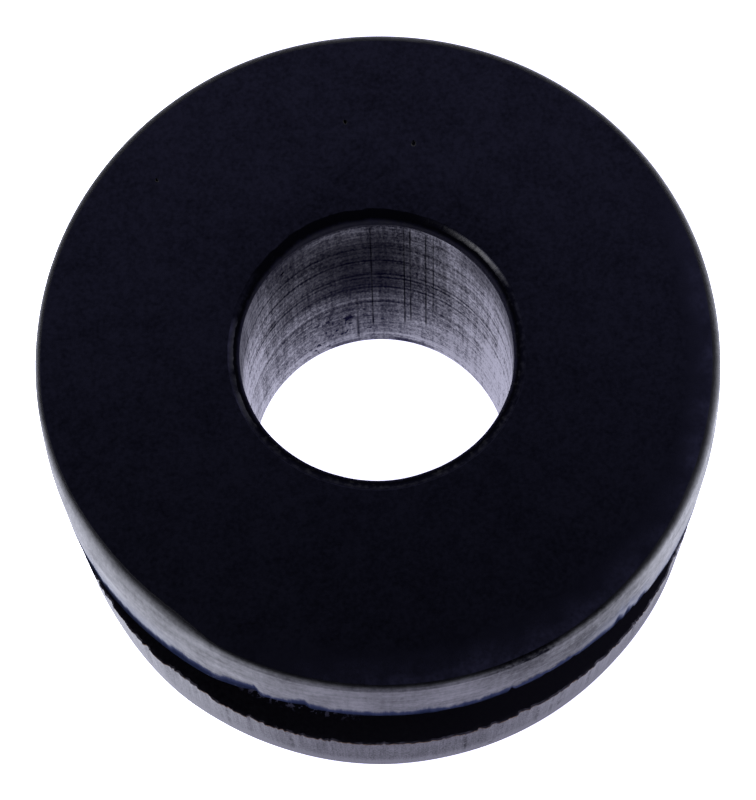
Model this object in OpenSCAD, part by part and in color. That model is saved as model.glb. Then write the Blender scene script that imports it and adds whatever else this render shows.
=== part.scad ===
// Rubber panel grommet: one moulded piece, round about its bore.
// Two equal flanges stand either side of the groove that clips round the edge
// of a panel hole, and a plain bore runs through the middle for a cable.
// The origin is on the bore axis, at the face that the grommet stands on.

/* [Flanges] */
// Outer diameter of both flanges
flange_d = 24; // [20:0.5:32]
// Thickness of the flange above the groove
upper_flange_t = 4.2; // [2:0.1:7]
// Thickness of the flange below the groove
lower_flange_t = 4.2; // [2:0.1:7]
// Radius of the outer edge round the upper face
upper_edge_r = 0.3; // [0.05:0.05:0.8]
// Radius of the outer edge round the lower face
lower_edge_r = 0.5; // [0.05:0.05:0.8]

/* [Groove] */
// Width of the groove, which is the thickest panel that it takes
groove_w = 4.8; // [1.5:0.1:8]
// Diameter of the groove's floor, which is the hole in the panel
groove_d = 16; // [14:0.5:18]
// Radius of the fillets where the groove's floor meets its sides
groove_fillet_r = 0.3; // [0.1:0.05:0.7]

/* [Bore] */
// Diameter of the bore
bore_d = 9.5; // [4:0.5:11]
// Radius of the rounded mouth at the upper face
upper_mouth_r = 0.45; // [0.1:0.05:0.8]
// Radius of the rounded mouth at the lower face
lower_mouth_r = 0.3; // [0.1:0.05:0.8]

/* [Hidden] */
$fn = 180;
// How far a cutting shape runs past the face that it cuts
cut_over = 0.5;
flange_r = flange_d / 2;
groove_floor_r = groove_d / 2;
bore_r = bore_d / 2;
groove_top = lower_flange_t + groove_w;
height = groove_top + upper_flange_t;

// Puts a shape drawn in the corner of +X and +Y at another corner of the
// section, the point at, where the material lies towards side along X and Y.
module at_corner(at, side) {
    translate(at) scale([side[0], side[1]]) children();
}

// Web between a square corner and the arc that rounds it. It is taken off an
// outside corner, with over to clear the faces, and added to an inside one.
module corner_web(r, over = 0) {
    difference() {
        translate([-over, -over]) square(r + over);
        translate([r, r]) circle(r);
    }
}

// Groove as a cutting section, open at the rims, with a filleted floor.
module groove_section() {
    difference() {
        translate([groove_floor_r, lower_flange_t])
            square([flange_r - groove_floor_r + cut_over, groove_w]);
        at_corner([groove_floor_r, lower_flange_t], [1, 1]) corner_web(groove_fillet_r);
        at_corner([groove_floor_r, groove_top], [1, -1]) corner_web(groove_fillet_r);
    }
}

// Half section of the grommet, from the bore's wall to the flanges' rims.
module grommet_section() {
    difference() {
        translate([bore_r, 0]) square([flange_r - bore_r, height]);
        groove_section();
        at_corner([flange_r, height], [-1, -1]) corner_web(upper_edge_r, cut_over);
        at_corner([flange_r, 0], [-1, 1]) corner_web(lower_edge_r, cut_over);
        at_corner([bore_r, height], [1, -1]) corner_web(upper_mouth_r, cut_over);
        at_corner([bore_r, 0], [1, 1]) corner_web(lower_mouth_r, cut_over);
    }
}

module grommet() {
    color([0.05, 0.05, 0.07]) rotate_extrude() grommet_section();
}

grommet();
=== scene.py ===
import math

import bpy
import numpy as np
from mathutils import Matrix, Quaternion, Vector


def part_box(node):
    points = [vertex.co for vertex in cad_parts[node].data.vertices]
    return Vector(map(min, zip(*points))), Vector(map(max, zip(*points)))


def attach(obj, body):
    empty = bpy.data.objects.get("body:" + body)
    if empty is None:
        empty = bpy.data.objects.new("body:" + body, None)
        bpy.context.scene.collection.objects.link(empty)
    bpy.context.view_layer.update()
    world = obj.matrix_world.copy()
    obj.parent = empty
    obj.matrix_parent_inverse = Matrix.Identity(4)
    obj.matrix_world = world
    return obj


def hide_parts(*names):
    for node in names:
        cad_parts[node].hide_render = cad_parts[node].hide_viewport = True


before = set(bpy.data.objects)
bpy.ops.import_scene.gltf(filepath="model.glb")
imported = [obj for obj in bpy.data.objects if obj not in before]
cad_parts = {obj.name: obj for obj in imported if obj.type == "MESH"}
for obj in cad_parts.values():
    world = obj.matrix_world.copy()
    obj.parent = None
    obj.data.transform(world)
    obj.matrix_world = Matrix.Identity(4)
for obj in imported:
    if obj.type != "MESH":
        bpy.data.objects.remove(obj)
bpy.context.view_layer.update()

MM = 0.001

# ---------------------------------------------------------------- driving sizes, in millimetres
# The height and the flanges' radius follow the CAD solid, with the rims a hair inside its box. The
# rest repeats its section.
low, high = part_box("grommet")
HAIR = 0.003
HEIGHT = (high.z - low.z) / MM
FLANGE_R = (high.x - low.x) / 2 / MM - HAIR
FLANGE_T = 4.2
GROOVE_R = 8.0
GROOVE_FILLET = 0.3
GROOVE_LOW = FLANGE_T
GROOVE_HIGH = HEIGHT - FLANGE_T
LOWER_EDGE = 0.5
LOWER_MOUTH = 0.3
# Radius of the bore at its bottom, and the one at which the pits in its wall are placed
BORE_BOTTOM_R = 4.89
BORE_WALL_R = 4.75
# The bore is moulded out of centre along X and Y. This fades out between two radii.
BORE_SLIP = (-0.025, 0.1)
SLIP_INNER_R = 5.5
SLIP_OUTER_R = 11.0

# Points of the mesh round the axis, and their angles from +X towards +Y
AROUND = 900
TURN = np.arange(AROUND) * 2 * math.pi / AROUND
AZIMUTH = np.degrees(TURN)


# ---------------------------------------------------------------- unevenness round the axis
def ripple(first, last, seed):
    """Seeded smooth noise of first to last waves a turn, with an RMS of 1."""
    rng = np.random.default_rng(seed)
    out = np.zeros(AROUND)
    for waves in range(first, last + 1):
        out += rng.normal() * np.cos(waves * TURN + rng.uniform(0, 2 * math.pi))
    return out / out.std()


def torn(corners, seed):
    """Seeded jagged noise with a number of corners at uneven places, from -1 to 1."""
    rng = np.random.default_rng(seed)
    at = np.sort(rng.uniform(0, 360, corners))
    return np.interp(AZIMUTH, at, rng.uniform(-1, 1, corners), period=360)


def varied(pairs, blend=4):
    """A value that changes round the axis, through (azimuth in degrees, value) pairs, with its
    kinks blended over a few degrees."""
    azimuths, values = zip(*pairs)
    sharp = np.interp(AZIMUTH, azimuths, values, period=360)
    reach = round(blend * AROUND / 360)
    return sum(np.roll(sharp, k) for k in range(-reach, reach + 1)) / (2 * reach + 1)


def near(azimuth, width):
    """1 at an azimuth, falling to 0 about a width of degrees away."""
    away = (AZIMUTH - azimuth + 180) % 360 - 180
    return np.exp(-((away / width) ** 2))


# Size of the rounded edge of the upper face, inwards and downwards: long and soft at the left
# front, up to a kink, and crisp at the front
EDGE_IN = varied([(0, 0.36), (40, 0.3), (60, 0.28), (120, 0.28), (160, 0.24), (190, 0.22),
                  (212, 0.3), (232, 0.37), (236, 0.3), (240, 0.16), (275, 0.15), (300, 0.17),
                  (335, 0.32)], 2)
EDGE_DOWN = varied([(0, 0.45), (60, 0.22), (120, 0.2), (150, 0.2), (190, 0.35), (212, 0.65),
                    (232, 0.7), (236, 0.5), (240, 0.25), (275, 0.14), (300, 0.17), (335, 0.4)])
# How far the upper rim leans in at its top: by wear at the sides and most at the left front
LEAN = varied([(0, 0.14), (10, 0.12), (24, 0.07), (40, 0.03), (60, 0), (115, 0), (145, 0.08),
               (176, 0.12), (190, 0.11), (200, 0.12), (208, 0.15), (216, 0.19), (232, 0.18),
               (240, 0.12), (265, 0.09), (285, 0.04), (300, 0.03), (320, 0.08), (336, 0.12),
               (345, 0.15)])
# The lean begins this far below the upper face, and grows with this power of the height over that
LEAN_HEIGHT = 1.9
LEAN_POWER = 1.4
# The share of the edge's round that is rim. The rest is shaded as part of the face.
EDGE_RIM_SHARE = 0.93
# Radius of the bore at its top, and the width of its mouth, which is most ragged at the rear
BORE_TOP_R = varied([(0, 4.72), (60, 4.7), (130, 4.7), (190, 4.79), (212, 4.79), (250, 4.69),
                     (290, 4.69), (320, 4.77), (345, 4.78)])
MOUTH_RAGGED = 0.025 * torn(150, 3) * (0.3 + near(112, 40))
MOUTH_IN = MOUTH_RAGGED + varied([(0, 0.41), (30, 0.46), (70, 0.42), (92, 0.48), (120, 0.49),
                                  (140, 0.4), (200, 0.4), (270, 0.42)])
# The mouth starts with a worn slope: its width, its depth, and how steep it is at first
SLOPE_IN = 0.2
SLOPE_DOWN = 0.07
SLOPE_START = 0.23
# It goes on as an oval round from this angle to 180 degrees. The shares say how far inwards and
# downwards that arc reaches for each unit of its radii, and how high the oval is for its width.
ROUND_FIRST = 130
ROUND_IN_SHARE = 0.357
ROUND_DOWN_SHARE = 0.766
ROUND_OVAL = 0.555
# Radius of the upper rim where it is widest
FULL_R = FLANGE_R - varied([(0, 0.02), (100, 0), (175, 0.02), (192, 0.04), (200, 0), (338, 0),
                            (346, 0.04)])
# Radius of the lip under the upper rim
LIP_R = FULL_R - varied([(0, 0.04), (180, 0.03), (196, 0), (230, 0.01), (246, 0.08), (300, 0.08),
                         (315, 0.02), (325, 0), (342, 0)])
# The lip hangs lower at the sides. It has two wide notches at the left front, and small ones in
# front and at the right front.
LIP_DROP = varied([(0, 0.2), (180, 0.1), (200, 1.2), (210, 1.5), (217, 1.1), (226, 0.5),
                   (240, 0.55), (248, 0), (264, 0.02), (279, 0.16), (300, 0.17), (314, 0.3),
                   (322, 0.3), (331, 0.8), (342, 0.9)])
LIP_NOTCHES = varied([(239, 0), (244, 0.3), (247.2, 0.75), (248, 0), (250.5, 0), (253, 0.15),
                      (255.8, 0.5), (256.6, 0), (290.2, 0), (290.8, 0.5), (291.4, 0),
                      (296.4, 0), (297.4, 0.2), (297.8, 0), (302, 0), (302.8, 0.2), (303.2, 0),
                      (311.6, 0), (312.6, 0.3), (313, 0), (315, 0), (316, 0.35), (316.4, 0),
                      (318.2, 0), (319, 0.3), (319.4, 0)], 0)
LIP_WAVE = 0.03 * ripple(3, 14, 5) + 0.075 * torn(190, 6) - LIP_DROP + LIP_NOTCHES
# The lip is a small slope: how far it is bitten back, the share of that at its outer side, its
# width, and how far its inner side lies below its height and its outer side above it
LIP_BITE = 0.015 * np.abs(torn(260, 7))
LIP_OUTER_BITE = 0.3
LIP_IN = 0.12
LIP_SAG = 0.02
LIP_RISE = 0.06
# Radius of the lower rim at the bottom
LOWER_R = FLANGE_R - varied([(0, 0.1), (180, 0.09), (200, 0.1), (211, 0.14), (220, 0.1),
                             (229, 0.065), (238, 0.1), (250, 0.115), (269, 0.09), (280, 0.12),
                             (300, 0.13), (315, 0.14), (330, 0.09)], 2)
# Fine bites out of the lower rim's lip, and larger ones: azimuth, width in degrees, and depth
LOWER_BITES = ((231, 4, 0.1), (236, 1, 0.08), (245, 0.7, 0.05), (310, 0.6, 0.05), (213, 9, 0.02))
LOWER_BITE = 0.085 * np.abs(torn(800, 8)) ** 2 + 0.01 * np.abs(ripple(60, 200, 9))
for azimuth, width, depth in LOWER_BITES:
    LOWER_BITE = LOWER_BITE + depth * near(azimuth, width)
# Radius and height of that lip, and the width of the small slope inside it
LOWER_LIP_R = FLANGE_R - np.maximum(0.04 + LOWER_BITE, 0)
LOWER_LIP_Z = GROOVE_LOW - 0.02 - 0.09 * np.abs(torn(600, 11))
LOWER_LIP_IN = 0.06


# ---------------------------------------------------------------- the grommet's mesh
def whole(value):
    """A number or a value that changes round the axis, as the latter."""
    return np.broadcast_to(np.asarray(value, float), (AROUND,))


def run(start, end, steps, bunch=1.0):
    """Rows of (radius, height) from start towards end, without end. A bunch above 1 sets them
    closer to the start, and a negative one closer to the end."""
    rows = []
    for k in range(steps):
        t = k / steps
        t = t ** bunch if bunch > 0 else 1 - (1 - t) ** -bunch
        rows.append(tuple(whole(a) + (whole(b) - whole(a)) * t for a, b in zip(start, end)))
    return rows


def flat(start, end):
    """Rows across a flat ring, close together at both ends so that the flat is shaded flat."""
    middle = tuple((whole(a) + whole(b)) / 2 for a, b in zip(start, end))
    return run(start, middle, 5, 3) + run(middle, end, 5, -3)


def bend(centre, radii, first, last, steps):
    """Rows round an oval arc from first to last, in degrees, without the last."""
    rows = []
    for k in range(steps):
        t = np.radians(first + (last - first) * k / steps)
        radius = centre[0] + radii[0] * np.cos(t)
        height = centre[1] + radii[1] * np.sin(t)
        rows.append((whole(radius), whole(height)))
    return rows


def section():
    """The zones of the closed half section, as (surface, rows), from the lower mouth outwards."""
    lower_inner = BORE_BOTTOM_R + LOWER_MOUTH
    lower_turn = LOWER_R - LOWER_EDGE
    lower_lip_inner = (LOWER_LIP_R - LOWER_LIP_IN, GROOVE_LOW)
    floor_low = (GROOVE_R, GROOVE_LOW + GROOVE_FILLET)
    floor_high = (GROOVE_R, GROOVE_HIGH - GROOVE_FILLET)
    fillet_r = GROOVE_R + GROOVE_FILLET
    fillet = (GROOVE_FILLET, GROOVE_FILLET)
    lip_inner = (LIP_R - LIP_IN - LIP_BITE, GROOVE_HIGH + LIP_WAVE - LIP_SAG)
    lip = (LIP_R - LIP_BITE * LIP_OUTER_BITE, GROOVE_HIGH + LIP_WAVE + LIP_RISE)
    full = (FULL_R, HEIGHT - LEAN_HEIGHT)
    edge = (EDGE_IN, EDGE_DOWN)
    edge_centre = (FLANGE_R - LEAN - EDGE_IN, HEIGHT - EDGE_DOWN)
    slope = LEAN_POWER * LEAN / (LEAN_HEIGHT - EDGE_DOWN)
    edge_first = np.degrees(np.arctan(slope * EDGE_DOWN / EDGE_IN))
    edge_switch = edge_first + EDGE_RIM_SHARE * (90 - edge_first)
    lean_end = bend(edge_centre, edge, edge_first, 90, 1)[0]
    round_in = (MOUTH_IN - SLOPE_IN) / ROUND_IN_SHARE
    round_down = ROUND_OVAL * round_in
    round_end = HEIGHT - SLOPE_DOWN - ROUND_DOWN_SHARE * round_down
    round_centre = (BORE_TOP_R + round_in, round_end)
    return [
        ("face", flat((lower_inner, 0), (lower_turn, 0))),
        ("rim_low", bend((lower_turn, LOWER_EDGE), (LOWER_EDGE, LOWER_EDGE), -90, 0, 7)),
        ("rim_low", run((LOWER_R, LOWER_EDGE), (LOWER_LIP_R, LOWER_LIP_Z), 8, -1.6)),
        ("groove", run((LOWER_LIP_R, LOWER_LIP_Z), lower_lip_inner, 1)),
        ("groove", run(lower_lip_inner, (fillet_r, GROOVE_LOW), 6, 1.8)),
        ("groove", bend((fillet_r, GROOVE_LOW + GROOVE_FILLET), fillet, 270, 180, 3)),
        ("groove", run(floor_low, floor_high, 1)),
        ("groove", bend((fillet_r, GROOVE_HIGH - GROOVE_FILLET), fillet, 180, 90, 3)),
        ("groove", run((fillet_r, GROOVE_HIGH), lip_inner, 4, -1.6)),
        ("rim_high", run(lip_inner, lip, 2)),
        ("rim_high", run(lip, full, 6, 1.2)),
        ("rim_high", leaning(lean_end)),
        ("rim_high", bend(edge_centre, edge, edge_first, edge_switch, 9)),
        ("face", bend(edge_centre, edge, edge_switch, 90, 2)),
        ("face", flat((FLANGE_R - LEAN - EDGE_IN, HEIGHT), (BORE_TOP_R + MOUTH_IN, HEIGHT))),
        ("mouth", worn_slope(BORE_TOP_R + MOUTH_IN)),
        ("mouth", bend(round_centre, (round_in, round_down), ROUND_FIRST, 180, 7)),
        ("bore", run((BORE_TOP_R, round_end), (BORE_BOTTOM_R, LOWER_MOUTH), 8)),
        ("bore", bend((lower_inner, LOWER_MOUTH), (LOWER_MOUTH, LOWER_MOUTH), 180, 270, 5)),
    ]


def worn_slope(outer):
    """The outer part of the bore's mouth, which gets steeper inwards, from its outer radius."""
    steps = 4
    first = SLOPE_START * SLOPE_IN
    rows = []
    for k in range(steps):
        t = k / steps
        drop = first * t + (SLOPE_DOWN - first) * t * t
        rows.append((whole(outer - SLOPE_IN * t), whole(HEIGHT - drop)))
    return rows


def leaning(end):
    """The upper rim's wall, from its full radius up to the start of the top edge."""
    steps = 8
    start = HEIGHT - LEAN_HEIGHT
    rows = []
    for k in range(steps):
        t = k / steps
        rows.append((FULL_R + (end[0] - FULL_R) * t ** LEAN_POWER, start + (end[1] - start) * t))
    return rows


SURFACES = ("face", "mouth", "bore", "rim_high", "rim_low", "groove")
# Edges sharper than this many degrees are shaded as edges
SHARP_EDGE = 38


def build_grommet():
    """One closed mesh: the half section's rows, turned about the axis and joined into quads."""
    rows = [(surface, row) for surface, zone in section() for row in zone]
    radius = np.array([row[0] for _, row in rows])
    height = np.array([row[1] for _, row in rows])
    slip = np.clip((SLIP_OUTER_R - radius) / (SLIP_OUTER_R - SLIP_INNER_R), 0, 1)
    x = radius * np.cos(TURN) + slip * BORE_SLIP[0]
    y = radius * np.sin(TURN) + slip * BORE_SLIP[1]
    points = np.stack([x, y, height], axis=2).reshape(-1, 3) * MM

    here = np.arange(len(rows))[:, None] * AROUND
    after = np.roll(here, -1, axis=0)
    side = np.arange(AROUND)[None, :]
    next_side = np.roll(side, -1, axis=1)
    corners = [here + side, here + next_side, after + next_side, after + side]
    quads = np.stack(corners, axis=2).reshape(-1, 4)

    mesh = bpy.data.meshes.new("grommet_rubber")
    mesh.from_pydata(points.tolist(), [], quads.tolist())
    index = np.repeat([SURFACES.index(surface) for surface, _ in rows], AROUND)
    mesh.polygons.foreach_set("material_index", index)
    mesh.update()
    mesh.shade_smooth()
    mesh.set_sharp_from_angle(angle=math.radians(SHARP_EDGE))
    piece = bpy.data.objects.new("grommet_rubber", mesh)
    bpy.context.scene.collection.objects.link(piece)
    return piece


# ---------------------------------------------------------------- materials
# Glossy rubber on the rims and in the bore and the groove, and on the faces and the mouth
RUBBER_COLOUR = (0.003, 0.003, 0.0045, 1)
FACE_COLOUR = (0.0007, 0.0007, 0.0011, 1)
# How rough that rubber is, and the film over it
ROUGH_FACE = 0.22
ROUGH_BORE = 0.3
ROUGH_RIM = 0.6
ROUGH_GROOVE = 0.7
ROUGH_FILM = 0.9
# Film on the faces, and the painted bluish sheen at their outer edge
BLACK_FILM = (0.0005, 0.0005, 0.0008, 1)
EDGE_SHEEN_FILM = (0.1, 0.1, 0.17, 1)
# Painted shade in the mouth: over most of it, blacker at its torn rear and in its black ring, and
# a paler painted reflection below that ring
MOUTH_SHADE_FILM = (0.009, 0.009, 0.016, 1)
RING_SHADE_FILM = (0.004, 0.004, 0.0065, 1)
DEEP_REFLECTION_FILM = (0.034, 0.033, 0.06, 1)
# Painted navy shade on the bore's wall, and the film in its streaks and pits
NAVY_SHADE_FILM = (0.012, 0.011, 0.036, 1)
STREAK_FILM = (0.003, 0.003, 0.008, 1)
# Film on the rims
RIM_FILM = (0.003, 0.003, 0.0045, 1)
# Painted colour over the upper rim's lip: painted shade at its foot, in front and at the sides, and
# a painted dark blue reflection over that foot, in front and at the sides. The last one is the
# paler painted sheen above it at the sides.
DARK_LIP_SHADE = (0.005, 0.007, 0.017, 1)
DARK_SIDE_SHADE = (0.003, 0.004, 0.008, 1)
BLUE_LIP_REFLECTION = (0.015, 0.0185, 0.039, 1)
SIDE_BLUE_REFLECTION = (0.01, 0.0115, 0.019, 1)
PALE_SIDE_SHEEN = (0.08, 0.088, 0.115, 1)
# Brown along the lower rim's ragged upper edge
BROWN_FILM = (0.09, 0.06, 0.04, 1)
# Painted shade in the groove, from left to right, and its torn specks
GROOVE_SHADE_FILM = (0.004, 0.003, 0.007, 1)
RIGHT_GROOVE_SHADE = (0.024, 0.022, 0.032, 1)
FLAKE_FILM = (0.17, 0.17, 0.25, 1)


class Nodes:
    """A node tree with short ways to add what the materials here need."""

    def __init__(self, tree):
        self.tree = tree

    def put(self, kind, **settings):
        """A new shader node of a kind, with its settings."""
        node = self.tree.nodes.new("ShaderNode" + kind)
        for name, value in settings.items():
            setattr(node, name, value)
        return node

    def feed(self, socket, value):
        """Links another node's output to a socket, or sets the socket to a plain value."""
        if isinstance(value, bpy.types.NodeSocket):
            self.tree.links.new(value, socket)
        else:
            socket.default_value = value

    def math(self, operation, a, b=0.0, clamp=False):
        """The outcome of a math operation on one or two values."""
        node = self.put("Math", operation=operation, use_clamp=clamp)
        self.feed(node.inputs[0], a)
        self.feed(node.inputs[1], b)
        return node.outputs[0]

    def step(self, value, start, end, low=0.0, high=1.0):
        """From low before start to high after end, with a smooth step between them."""
        node = self.put("MapRange", interpolation_type="SMOOTHSTEP")
        if start > end:
            start, end, low, high = end, start, high, low
        self.feed(node.inputs["Value"], value)
        node.inputs["From Min"].default_value = start
        node.inputs["From Max"].default_value = end
        node.inputs["To Min"].default_value = low
        node.inputs["To Max"].default_value = high
        return node.outputs[0]

    def off(self, value, centre):
        """How far a value is from a centre, either way."""
        return self.math("ABSOLUTE", self.math("SUBTRACT", value, centre))

    def times(self, *factors):
        """The product of the factors."""
        out = factors[0]
        for factor in factors[1:]:
            out = self.math("MULTIPLY", out, factor)
        return out

    def total(self, base, *pairs):
        """A base plus each mask times its weight, kept between 0 and 1."""
        out = base
        for mask, weight in pairs:
            node = self.put("Math", operation="MULTIPLY_ADD")
            self.feed(node.inputs[0], mask)
            self.feed(node.inputs[1], weight)
            self.feed(node.inputs[2], out)
            out = node.outputs[0]
        return self.math("ADD", out, 0.0, clamp=True)

    def most(self, *masks):
        """The greatest of the masks at each place."""
        out = masks[0]
        for mask in masks[1:]:
            out = self.math("MAXIMUM", out, mask)
        return out

    def colour(self, factor, a, b):
        """A mix from colour a, where the factor is 0, to colour b, where it is 1."""
        node = self.put("Mix", data_type="RGBA")
        self.feed(node.inputs[0], factor)
        self.feed(node.inputs[6], a)
        self.feed(node.inputs[7], b)
        return node.outputs[2]


class Rubber(Nodes):
    """A rubber surface: glossy rubber under a matte film, which is partly bloom, dust and scuffed
    skin and partly painted shade that dims the rubber's reflections. In places its colour is a
    painted reflection or sheen. Lengths are in millimetres and azimuths in degrees from +X towards
    +Y."""

    def __init__(self, name):
        self.mat = bpy.data.materials.new(name)
        self.mat.use_nodes = True
        super().__init__(self.mat.node_tree)
        coordinates = self.put("TexCoord")
        scale = self.put("VectorMath", operation="SCALE")
        self.feed(scale.inputs[0], coordinates.outputs["Object"])
        scale.inputs["Scale"].default_value = 1 / MM
        self.at = scale.outputs[0]
        apart = self.put("SeparateXYZ")
        self.feed(apart.inputs[0], self.at)
        self.x, self.y, self.z = apart.outputs
        turn = self.math("DEGREES", self.math("ARCTAN2", self.y, self.x))
        self.azimuth = self.math("FLOORED_MODULO", turn, 360.0)
        squares = self.math("ADD", self.times(self.x, self.x), self.times(self.y, self.y))
        self.radius = self.math("SQRT", squares)
        self.relief = None

    def noise(self, x, y, z, detail=2.0, roughness=0.5, shift=0.0):
        """Noise with x, y and z waves a millimetre. High x and y with a low z draw lines along the
        axis, and the other way about they draw lines round it."""
        place = self.put("VectorMath", operation="MULTIPLY_ADD")
        self.feed(place.inputs[0], self.at)
        place.inputs[1].default_value = (x, y, z)
        place.inputs[2].default_value = (shift, 2 * shift, 3 * shift)
        node = self.put("TexNoise")
        self.feed(node.inputs["Vector"], place.outputs[0])
        node.inputs["Scale"].default_value = 1.0
        node.inputs["Detail"].default_value = detail
        node.inputs["Roughness"].default_value = roughness
        return node.outputs[0]

    def uneven(self, *waves, **settings):
        """Noise about 0, from -0.5 to 0.5."""
        return self.math("SUBTRACT", self.noise(*waves, **settings), 0.5)

    def line(self, value, centre, width):
        """1 where a value is at the centre, 0 beyond a width on each side."""
        return self.step(self.off(value, centre), width, 0.3 * width)

    def streak(self, azimuth, width, bottom, top, strength=1.0):
        """A strength along a line down the wall, from top to bottom."""
        across = self.line(self.azimuth, azimuth, width)
        return self.times(across, self.step(self.z, bottom - 0.4, bottom + 0.4),
                          self.step(self.z, top + 0.3, top - 0.3), strength)

    def spot(self, place, size):
        """1 inside a small ragged spot at a place."""
        node = self.put("VectorMath", operation="DISTANCE")
        self.feed(node.inputs[0], self.at)
        node.inputs[1].default_value = place
        ragged = self.times(self.uneven(9, 9, 9), 1.4 * size)
        return self.step(self.math("ADD", node.outputs["Value"], ragged), size, 0.5 * size)

    def pit(self, azimuth, height, size, radius=BORE_WALL_R):
        """1 inside a small ragged spot on a wall."""
        turn = math.radians(azimuth)
        return self.spot((radius * math.cos(turn), radius * math.sin(turn), height), size)

    def raise_by(self, height, depth):
        """Adds relief, where height from 0 to 1 stands for a depth in millimetres."""
        node = self.put("Bump")
        node.inputs["Distance"].default_value = depth * MM
        self.feed(node.inputs["Height"], height)
        if self.relief is not None:
            self.feed(node.inputs["Normal"], self.relief)
        self.relief = node.outputs[0]

    def finish(self, film, film_colour, roughness, colour=RUBBER_COLOUR, ior=1.5):
        """The whole material: the film covers the glossy rubber where the film mask is 1."""
        gloss = self.tree.nodes["Principled BSDF"]
        gloss.inputs["IOR"].default_value = ior
        self.feed(gloss.inputs["Base Color"], colour)
        self.feed(gloss.inputs["Roughness"], roughness)
        matte = self.put("BsdfPrincipled")
        matte.inputs["Specular IOR Level"].default_value = 0.0
        matte.inputs["Roughness"].default_value = ROUGH_FILM
        self.feed(matte.inputs["Base Color"], film_colour)
        for shader in (gloss, matte):
            self.feed(shader.inputs["Normal"], self.relief)
        both = self.put("MixShader")
        self.feed(both.inputs[0], film)
        self.feed(both.inputs[1], gloss.outputs[0])
        self.feed(both.inputs[2], matte.outputs[0])
        self.feed(self.tree.nodes["Material Output"].inputs["Surface"], both.outputs[0])
        return self.mat


# Pinholes in the upper face: place and size
FACE_PITS = (((-0.89, 8.62, HEIGHT), 0.1), ((1.52, 7.72, HEIGHT), 0.11),
             ((-7.57, 6.64, HEIGHT), 0.07))


def face_rubber():
    """The moulded faces: nearly black, faintly mottled, with a fine grain and a few pinholes, and a
    painted bluish sheen towards the outer edge in front and on the right."""
    skin = Rubber("rubber_face")
    grain = skin.uneven(7, 7, 7, detail=1)
    mottle = skin.uneven(0.5, 0.5, 0.5, detail=3, roughness=0.6)
    cloud = skin.uneven(1.8, 1.8, 1.8, detail=2, shift=3)
    pits = skin.most(*[skin.spot(*pit) for pit in FACE_PITS])
    outer = skin.step(skin.radius, 10.3, 11.7)
    right = skin.step(skin.off(skin.azimuth, 180.0), 140, 172)
    front = skin.line(skin.azimuth, 296, 60)
    # Painted bluish sheen at the outer edge, in front and on the right
    edge_sheen = skin.times(outer, skin.total(0.0, (right, 1.0), (front, 0.65)),
                      skin.noise(1.2, 1.2, 1.2, detail=2, shift=6))
    inner = skin.times(skin.step(skin.radius, 7.5, 5.3), skin.step(skin.y, 1, 4))
    film = skin.total(0.2, (grain, 0.9), (mottle, 0.5), (cloud, 0.4), (pits, 0.8), (edge_sheen, 0.8),
                      (inner, 0.16))
    skin.raise_by(skin.noise(6, 6, 6, detail=2), 0.001)
    skin.raise_by(pits, -0.02)
    return skin.finish(film, skin.colour(edge_sheen, BLACK_FILM, EDGE_SHEEN_FILM), ROUGH_FACE, FACE_COLOUR)


def mouth_rubber():
    """The rounded mouth of the bore: glossy at its outer side at the right rear and the left, torn
    at the rear and matte there under painted shade, and a painted black ring of shade inside that
    fades into a paler painted reflection towards the wall."""
    skin = Rubber("rubber_mouth")
    grain = skin.uneven(5, 5, 5, detail=3)
    cloud = skin.uneven(1.5, 1.5, 1.5, detail=2)
    depth = skin.math("SUBTRACT", HEIGHT, skin.z)
    edge = skin.math("ADD", depth, skin.times(grain, 0.03))
    # Painted shade covers the inner part of the mouth, its torn rear and its black ring
    inner = skin.step(edge, 0.055, 0.085)
    ragged = skin.times(grain, 16.0)
    torn_rear_shade = skin.step(skin.math("ADD", skin.off(skin.azimuth, 108.0), ragged), 56, 32)
    right = skin.step(skin.off(skin.azimuth, 45.0), 24, 0)
    left = skin.most(skin.line(skin.azimuth, 176, 15),
                     skin.times(skin.line(skin.azimuth, 199, 16), 0.85))
    plain = skin.step(skin.most(right, left), 1.0, 0.0)
    # The black ring is painted shade, kept off the glossy places
    ring = skin.times(plain, skin.step(edge, 0.02, 0.05, 0.85, 0.95))
    deep = skin.step(skin.math("ADD", depth, skin.times(grain, 0.1)), 0.1, 0.26)
    covered = skin.times(skin.most(inner, torn_rear_shade, ring),
                         skin.math("SUBTRACT", 1.0, skin.times(deep, 0.25)))
    skin.raise_by(skin.noise(5, 5, 5, detail=3), 0.006)
    film = skin.total(0.05, (covered, 1.0), (grain, 0.6), (skin.times(cloud, left), 1.6),
                      (left, 0.5))
    rough = skin.step(depth, 0.1, 0.3, 0.25, 0.5)
    # Painted shade, blacker at the torn rear and in the ring's core, and a paler painted reflection
    # deeper down
    dark = skin.colour(skin.most(torn_rear_shade, skin.line(depth, 0.12, 0.1)), MOUTH_SHADE_FILM, RING_SHADE_FILM)
    return skin.finish(film, skin.colour(deep, dark, DEEP_REFLECTION_FILM), rough, FACE_COLOUR, 2.0)


# Streaks down the bore's wall: azimuth, half width in degrees, bottom, top and strength
BORE_STREAKS = ((106.0, 1.8, 1.6, 4.2, 0.4), (98.4, 0.8, 0.9, 5.2, 0.45),
                (91.6, 0.5, 2.2, 12.6, 0.8), (77.4, 0.5, 2.5, 12.6, 0.9),
                (74.7, 0.5, 3.0, 12.6, 0.9), (67.7, 0.5, 2.9, 12.6, 0.9),
                (64.2, 0.4, 4.8, 12.6, 0.8), (58.6, 1.3, 4.8, 12.6, 0.35))
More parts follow.
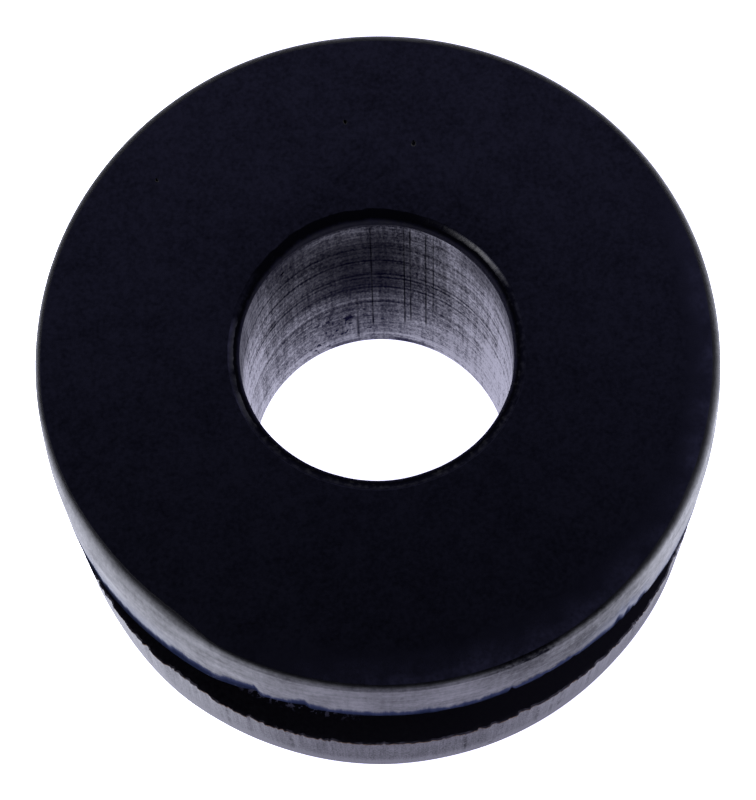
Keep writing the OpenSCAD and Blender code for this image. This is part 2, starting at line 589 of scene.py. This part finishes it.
# Pits in that wall: azimuth, height and size
BORE_PITS = ((127.7, 4.1, 0.2), (99.8, 4.2, 0.15), (68.6, 6.6, 0.14), (133, 11.75, 0.13),
             (162.5, 10.6, 0.16), (114, 1.8, 0.12), (44, 6.6, 0.1), (40.5, 8.7, 0.1),
             (121, 6.6, 0.1), (53, 6.4, 0.09), (140, 8.9, 0.1), (86, 2.2, 0.1), (166, 5.2, 0.12))
# Heights of the tool's dark lines and light lines round that wall
DARK_TURNS = (10.6, 9.25, 7.8, 7.45, 6.4, 4.75)
LIGHT_TURNS = (5.1, 1.05)


def bore_rubber():
    """The bore's wall: lines of the tool round it, streaks and pits, and painted shade over the
    rear that leaves the lower end and the sides glossy, with more painted shade near the top at the
    sides and low down, and a painted shadow at its foot. The more shade is painted on a place, the
    more its texture stands out."""
    skin = Rubber("rubber_bore")
    turned = skin.uneven(0.25, 0.25, 4.5, detail=3, roughness=0.75)
    patchy = skin.uneven(0.6, 0.6, 0.9, detail=4, roughness=0.6, shift=7)
    drawn = skin.uneven(4, 4, 0.2, detail=2, roughness=0.7)
    grain = skin.uneven(11, 11, 5, detail=2, roughness=0.7)
    specks = skin.step(skin.noise(4, 4, 2, detail=1, shift=5), 0.62, 0.7)
    low_specks = skin.times(skin.line(skin.azimuth, 104, 30), skin.step(skin.z, 6, 3.6))
    # Painted shade over the rear of the wall, weaker low down and towards the sides
    dull = skin.times(skin.step(skin.azimuth, 15, 88), skin.step(skin.azimuth, 162, 134),
                      skin.step(skin.azimuth, 150, 100, 0.8, 1.0),
                      skin.step(skin.z, 5.4, 6.6, 0.88, 1.0), skin.step(skin.z, 0, 5, 0.25, 1.0),
                      skin.step(skin.z, 12.8, 10.5, 0.88, 1.0))
    lighter = skin.times(skin.line(skin.azimuth, 128, 26), skin.step(skin.z, 7, 5.4))
    broken = skin.step(skin.noise(2, 2, 0.8, detail=2, shift=9), 0.35, 0.6, 0.5, 1.0)
    streaks = skin.times(skin.most(*[skin.streak(*streak) for streak in BORE_STREAKS]), broken)
    pits = skin.most(*[skin.pit(*pit) for pit in BORE_PITS])
    dark_turns = skin.most(*[skin.line(skin.z, height, 0.14) for height in DARK_TURNS])
    light_turns = skin.most(*[skin.line(skin.z, height, 0.2) for height in LIGHT_TURNS])
    light_top = skin.times(skin.line(skin.z, 12.55, 0.4), skin.line(skin.azimuth, 90, 45))
    # Painted shade near the top of the wall, at the right and the left
    top = skin.most(skin.times(skin.step(skin.azimuth, 62, 38), skin.step(skin.z, 10, 12.6)),
                    skin.times(skin.step(skin.azimuth, 102, 132), skin.step(skin.z, 8.5, 12.6)),
                    skin.times(skin.step(skin.azimuth, 132, 155), skin.step(skin.z, 8, 11.3)))
    # Painted shade low down on the left and at the rear
    low_left_shade = skin.times(skin.step(skin.azimuth, 112, 145), skin.step(skin.z, 6.5, 4.5))
    low_rear_shade = skin.times(skin.line(skin.azimuth, 100, 34), skin.step(skin.z, 4.5, 2))
    # Painted shadow at the foot of the wall
    under = skin.times(skin.step(skin.z, 0.75, 0.5),
                       skin.most(skin.line(skin.azimuth, 73, 14),
                                 skin.times(skin.line(skin.azimuth, 105, 9), 0.5)))
    right_band = skin.times(skin.line(skin.azimuth, 40, 14), skin.step(skin.z, 5, 8))
    shine = skin.total(0.99, (dull, -0.95), (lighter, 0.12), (light_top, 0.08), (right_band, -0.1))
    texture = skin.total(0.56, (turned, 1.1), (patchy, 0.4), (drawn, 0.75), (grain, 1.35),
                         (skin.times(dark_turns, broken), -0.3), (light_turns, 0.2))
    contrast = skin.math("ADD", 1.0, dull)
    texture = skin.math("POWER", skin.times(texture, 1.75), contrast)
    # Streaks, pits and specks of the rubber, with the painted shade and shadow
    marks_and_shade = skin.total(0.0, (streaks, 1.0), (pits, 0.95), (skin.times(specks, low_specks), 0.8),
                       (under, 0.7), (low_rear_shade, 0.42), (top, 0.68), (low_left_shade, 0.25))
    shine = skin.times(shine, texture, skin.math("SUBTRACT", 1.0, marks_and_shade))
    film = skin.math("SUBTRACT", 1.0, shine, clamp=True)
    skin.raise_by(turned, 0.012)
    skin.raise_by(drawn, 0.006)
    # Painted navy shade, and darker film in the streaks and pits
    dark = skin.colour(skin.most(streaks, pits), NAVY_SHADE_FILM, STREAK_FILM)
    return skin.finish(film, dark, ROUGH_BORE, ior=1.85)


# Notches that the painted shade and reflection over the lip fill: the azimuths where each starts,
# is deepest and ends, and its share of the full depth
FILM_NOTCHES = ((238, 247.2, 248, 1), (250, 255.8, 256.7, 1), (311.2, 311.8, 313.8, 0.9),
                (313.6, 314.2, 316.4, 1), (316.9, 317.6, 320, 0.6))
# Scuffed places on the upper rim: place and size
RIM_SCUFFS = (((4.7, -11.05, 12.6), 1.2), ((6.6, -10.0, 11.4), 0.9))


def rim_high_rubber():
    """The upper rim: soft streaks up it and lines round it, a dull band at its top, and a painted
    dark blue reflection over painted shade, which creep up from the lip in teeth, with a paler
    painted sheen above them at the sides."""
    skin = Rubber("rubber_rim_high")
    drawn = skin.uneven(4, 4, 0.35, detail=3, roughness=0.7)
    turned = skin.uneven(0.4, 0.4, 4, detail=3, roughness=0.6)
    cloud = skin.uneven(0.7, 0.7, 0.8, detail=3, shift=2)
    grain = skin.uneven(6, 6, 3, detail=2, roughness=0.7)
    teeth = skin.times(skin.uneven(1.1, 1.1, 0, detail=6, roughness=0.7), 2.2)
    notches = skin.most(*[skin.times(skin.step(skin.azimuth, start, deepest),
                                     skin.step(skin.azimuth, end, deepest), share)
                          for start, deepest, end, share in FILM_NOTCHES])
    drop = skin.most(skin.step(skin.azimuth, 240, 206), skin.step(skin.azimuth, 304, 334))
    front = skin.times(skin.step(skin.azimuth, 268, 288), skin.step(skin.azimuth, 330, 312))
    height = skin.math("SUBTRACT", skin.math("ADD", skin.z, teeth), GROOVE_HIGH)
    for mask, rise in ((notches, -0.7), (drop, 0.85), (front, 0.35)):
        height = skin.math("ADD", height, skin.times(mask, rise))
    # The lip's band is painted shade and a painted dark blue reflection
    lip = skin.step(height, 1.15, 0.25)
    flakes = skin.times(skin.line(skin.azimuth, 246, 15),
                        skin.step(skin.noise(5, 5, 5, detail=2, shift=8), 0.6, 0.66),
                        skin.step(skin.z, 9.6, 9.2))
    sides = skin.most(skin.line(skin.azimuth, 218, 22), skin.line(skin.azimuth, 321, 20))
    # A paler painted sheen at the sides
    pale = skin.times(sides, skin.step(height, 3.2, 0.8))
    top_band = skin.times(skin.step(skin.z, 12.65, 12.8), skin.line(skin.azimuth, 272, 56))
    scuff = skin.most(*[skin.spot(*scuffed) for scuffed in RIM_SCUFFS])
    film = skin.total(0.25, (drawn, 0.3), (turned, 0.6), (cloud, 0.7), (grain, 0.6),
                      (top_band, 0.36), (lip, 1.0), (pale, 0.2), (scuff, 0.2),
                      (skin.line(skin.azimuth, 303, 22), 0.22), (flakes, -0.5),
                      (skin.line(skin.azimuth, 214, 24), -0.05))
    # Painted dark blue reflection over painted shade at the lip's foot, and the paler painted sheen
    # at the sides
    blue = skin.colour(drop, BLUE_LIP_REFLECTION, SIDE_BLUE_REFLECTION)
    foot = skin.colour(drop, DARK_LIP_SHADE, DARK_SIDE_SHADE)
    low_colour = skin.colour(skin.step(height, -0.1, 0.6), foot, blue)
    colour = skin.colour(skin.step(height, 1.2, 0.6), RIM_FILM, low_colour)
    colour = skin.colour(pale, colour, PALE_SIDE_SHEEN)
    skin.raise_by(drawn, 0.01)
    return skin.finish(film, skin.colour(lip, colour, low_colour), ROUGH_RIM, ior=1.54)


# Deeper lines down the lower rim: azimuth, half width in degrees, bottom and top
RIM_LINES = ((252.2, 0.6, 0.8, 4.1), (258, 0.4, 1.5, 3.8), (279, 0.45, 2.4, 4.2),
             (283, 0.6, 1.0, 3.8), (289.7, 0.6, 0.8, 4.0), (297, 0.5, 0.8, 4.0),
             (299.8, 0.5, 0.8, 4.0), (301.8, 0.6, 1.2, 4.0), (240, 0.4, 1, 4), (308, 0.5, 1.5, 4))
# A nick in the lower rim: azimuth, height, size and radius
RIM_NICK = (288, 1.0, 0.15, FLANGE_R - 0.1)


def rim_low_rubber():
    """The lower rim: fine upright striations and a few deeper lines, lighter at the bottom and the
    sides, with a thin painted shadow along its very bottom and a brown edge at its top."""
    skin = Rubber("rubber_rim_low")
    drawn = skin.uneven(8, 8, 0.25, detail=2, roughness=0.75)
    grain = skin.uneven(15, 15, 8, detail=2, roughness=0.75)
    cloud = skin.uneven(0.8, 0.8, 0.8, detail=2, shift=4)
    broken = skin.step(skin.noise(3, 3, 1.5, detail=2, shift=6), 0.35, 0.6)
    lines = skin.times(skin.most(*[skin.streak(*line) for line in RIM_LINES]), broken)
    nick = skin.pit(*RIM_NICK)
    edge = skin.step(skin.z, 4.0, 4.12)
    bottom = skin.step(skin.z, 1.8, 0.8)
    ragged_height = skin.math("ADD", skin.z, skin.times(skin.uneven(9, 9, 9), 0.5))
    brown_edge = skin.step(ragged_height, 4.07, 4.14)
    sides = skin.step(skin.off(skin.azimuth, 272.0), 8, 40)
    film = skin.total(0.37, (drawn, 0.65), (grain, 1.25), (cloud, 0.3), (lines, 0.25), (nick, 0.6),
                      (edge, 0.5), (bottom, -0.48), (sides, -0.27),
                      # A thin painted shadow along the very bottom
                      (skin.line(skin.z, 0.15, 0.12), 0.5),
                      (skin.line(skin.azimuth, 306, 18), -0.1), (brown_edge, 0.8))
    skin.raise_by(drawn, 0.02)
    skin.raise_by(lines, -0.02)
    return skin.finish(film, skin.colour(edge, RIM_FILM, BROWN_FILM), ROUGH_RIM, ior=1.62)


def groove_rubber():
    """The groove and the flanges' inner sides: dull and grainy under painted shade, which is
    lighter towards the right, with torn specks along the left front, under the upper rim's lip."""
    skin = Rubber("rubber_groove")
    grain = skin.uneven(6, 6, 6, detail=3)
    torn_part = skin.times(skin.line(skin.azimuth, 250, 17),
                           skin.step(skin.noise(7, 7, 7, detail=3), 0.52, 0.62),
                           skin.line(skin.radius, 10.86, 0.34))
    # The painted shade is lighter towards the right
    dark = skin.colour(skin.step(skin.x, -8, 9), GROOVE_SHADE_FILM, RIGHT_GROOVE_SHADE)
    skin.raise_by(grain, 0.02)
    # Painted shade over most of the groove
    film = skin.total(0.8, (grain, 0.6), (torn_part, 0.3))
    return skin.finish(film, skin.colour(torn_part, dark, FLAKE_FILM), ROUGH_GROOVE)


RUBBER = {"face": face_rubber, "mouth": mouth_rubber, "bore": bore_rubber,
          "rim_high": rim_high_rubber, "rim_low": rim_low_rubber, "groove": groove_rubber}

grommet = build_grommet()
for surface in SURFACES:
    grommet.data.materials.append(RUBBER[surface]())
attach(grommet, "root")
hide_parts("grommet")

# ---------------------------------------------------------------- stage, in metres
FLOOR_HALF = 1.5
FLOOR_WHITE = (0.8, 0.8, 0.8, 1)
# The floor's glow near the grommet, and its stronger glows in front and at the sides, with the Y or
# X where each starts and where it is full
FLOOR_GLOW = (1.3, 1.28, 1.68, 1)
FRONT_GLOW = (1.55, 1.5, 2.05, 1)
FRONT_GLOW_Y = (-0.0115, -0.0135)
LEFT_GLOW = (4.4, 4.5, 5.2, 1)
LEFT_GLOW_X = (-0.002, -0.018)
RIGHT_GLOW = (4.9, 5.0, 5.8, 1)
RIGHT_GLOW_X = (0.0112, 0.0165)


def make_floor():
    """A white floor that glows, so that it has no shadow, and more in front and at the sides."""
    mesh = bpy.data.meshes.new("floor")
    half = FLOOR_HALF
    corners = [(-half, -half, 0), (half, -half, 0), (half, half, 0), (-half, half, 0)]
    mesh.from_pydata(corners, [], [(0, 1, 2, 3)])
    floor = bpy.data.objects.new("floor", mesh)
    bpy.context.scene.collection.objects.link(floor)
    mat = bpy.data.materials.new("floor_white")
    mat.use_nodes = True
    nodes = Nodes(mat.node_tree)
    shader = mat.node_tree.nodes["Principled BSDF"]
    shader.inputs["Base Color"].default_value = FLOOR_WHITE
    shader.inputs["Roughness"].default_value = 1.0
    shader.inputs["Specular IOR Level"].default_value = 0.0
    shader.inputs["Emission Strength"].default_value = 1.0
    apart = nodes.put("SeparateXYZ")
    nodes.feed(apart.inputs[0], nodes.put("TexCoord").outputs["Object"])
    left = nodes.step(apart.outputs["X"], *LEFT_GLOW_X)
    right = nodes.step(apart.outputs["X"], *RIGHT_GLOW_X)
    front = nodes.step(apart.outputs["Y"], *FRONT_GLOW_Y)
    glow = nodes.colour(front, FLOOR_GLOW, FRONT_GLOW)
    glow = nodes.colour(right, nodes.colour(left, glow, LEFT_GLOW), RIGHT_GLOW)
    nodes.feed(shader.inputs["Emission Color"], glow)
    mesh.materials.append(mat)


# Light of the studio behind the grommet and in front of it, by the height of the direction, from 0
# at the horizon to 1 overhead
BACK_LIGHT = (
    (0.0, (1, 1, 1)), (0.2, (0.95, 0.95, 1)), (0.4, (0.7, 0.7, 0.8)), (0.55, (0.45, 0.45, 0.56)),
    (0.7, (0.28, 0.28, 0.4)), (0.8, (0.2, 0.2, 0.37)), (0.88, (0.25, 0.24, 0.52)),
    (0.92, (0.2, 0.2, 0.46)), (0.95, (0.075, 0.08, 0.17)), (0.975, (0.035, 0.035, 0.075)),
    (1.0, (0.01, 0.01, 0.02)),
)
FRONT_LIGHT = (
    (0.0, (1, 1, 1)), (0.08, (0.8, 0.8, 0.8)), (0.16, (0.45, 0.45, 0.5)), (0.4, (0.15, 0.15, 0.2)),
    (0.6, (0.06, 0.06, 0.1)), (0.8, (0.01, 0.01, 0.02)), (1.0, (0.01, 0.01, 0.02)),
)
# One gives way to the other between these directions along Y
TURN_TO_BACK = (-0.3, 0.15)


def make_world():
    """A pale studio, brighter behind the grommet and dark over and behind the camera."""
    world = bpy.data.worlds.new("studio")
    bpy.context.scene.world = world
    world.use_nodes = True
    world.node_tree.nodes.clear()
    nodes = Nodes(world.node_tree)
    out = nodes.put("OutputWorld")
    sky = nodes.put("Background")
    apart = nodes.put("SeparateXYZ")
    nodes.feed(apart.inputs[0], nodes.put("TexCoord").outputs["Generated"])
    lights = []
    for stops in (FRONT_LIGHT, BACK_LIGHT):
        ramp = nodes.put("ValToRGB")
        nodes.feed(ramp.inputs[0], apart.outputs["Z"])
        elements = ramp.color_ramp.elements
        elements.remove(elements[1])
        elements[0].position = stops[0][0]
        elements[0].color = (*stops[0][1], 1)
        for position, colour in stops[1:]:
            elements.new(position).color = (*colour, 1)
        lights.append(ramp.outputs[0])
    back = nodes.step(apart.outputs["Y"], *TURN_TO_BACK)
    nodes.feed(sky.inputs["Color"], nodes.colour(back, *lights))
    nodes.feed(out.inputs["Surface"], sky.outputs[0])


# A long soft light high on the left, seen as the crescent on the bore's mouth, in metres and watts
SOFT_DIRECTION = Vector((-0.44, -0.035, 0.897))
SOFT_LONG_WAY = Vector((0.77, 0.64, 0))
SOFT_DISTANCE = 0.6
SOFT_LENGTH = 0.18
SOFT_WIDTH = 0.14
SOFT_POWER = 0.12


def make_light():
    """The soft light, turned to face the grommet, with its long way along SOFT_LONG_WAY."""
    data = bpy.data.lights.new("soft_light", "AREA")
    data.shape = "RECTANGLE"
    data.size = SOFT_LENGTH
    data.size_y = SOFT_WIDTH
    data.energy = SOFT_POWER
    light = bpy.data.objects.new("soft_light", data)
    bpy.context.scene.collection.objects.link(light)
    z = SOFT_DIRECTION.normalized()
    y = z.cross(SOFT_LONG_WAY).normalized()
    x = y.cross(z)
    light.matrix_world = Matrix((x, y, z)).transposed().to_4x4()
    light.location = z * SOFT_DISTANCE


# ---------------------------------------------------------------- camera, in millimetres
LENS = 134.5
SENSOR = 36
CLIP_START = 10
CLIP_END = 10000
CAMERA_ELEVATION = math.radians(70.78)
CAMERA_DISTANCE = 103.2
CAMERA_AIM = (-0.057, 0.0, 7.78)
CAMERA_ROLL = math.radians(-2.04)


def make_camera():
    """The camera, which looks down in front of the grommet and is rolled a little. Its distance is
    from the middle of the upper face."""
    data = bpy.data.cameras.new("camera")
    camera = bpy.data.objects.new("camera", data)
    bpy.context.scene.collection.objects.link(camera)
    data.sensor_width = SENSOR
    data.lens = LENS
    data.clip_start = CLIP_START * MM
    data.clip_end = CLIP_END * MM
    away = Vector((0, -math.cos(CAMERA_ELEVATION), math.sin(CAMERA_ELEVATION)))
    camera.location = (Vector((0, 0, HEIGHT)) + away * CAMERA_DISTANCE) * MM
    look = (Vector(CAMERA_AIM) * MM - camera.location).to_track_quat("-Z", "Y")
    camera.rotation_mode = "QUATERNION"
    camera.rotation_quaternion = look @ Quaternion((0, 0, 1), CAMERA_ROLL)
    bpy.context.scene.camera = camera


make_floor()
make_world()
make_light()
make_camera()
bpy.context.scene.view_settings.view_transform = "Standard"
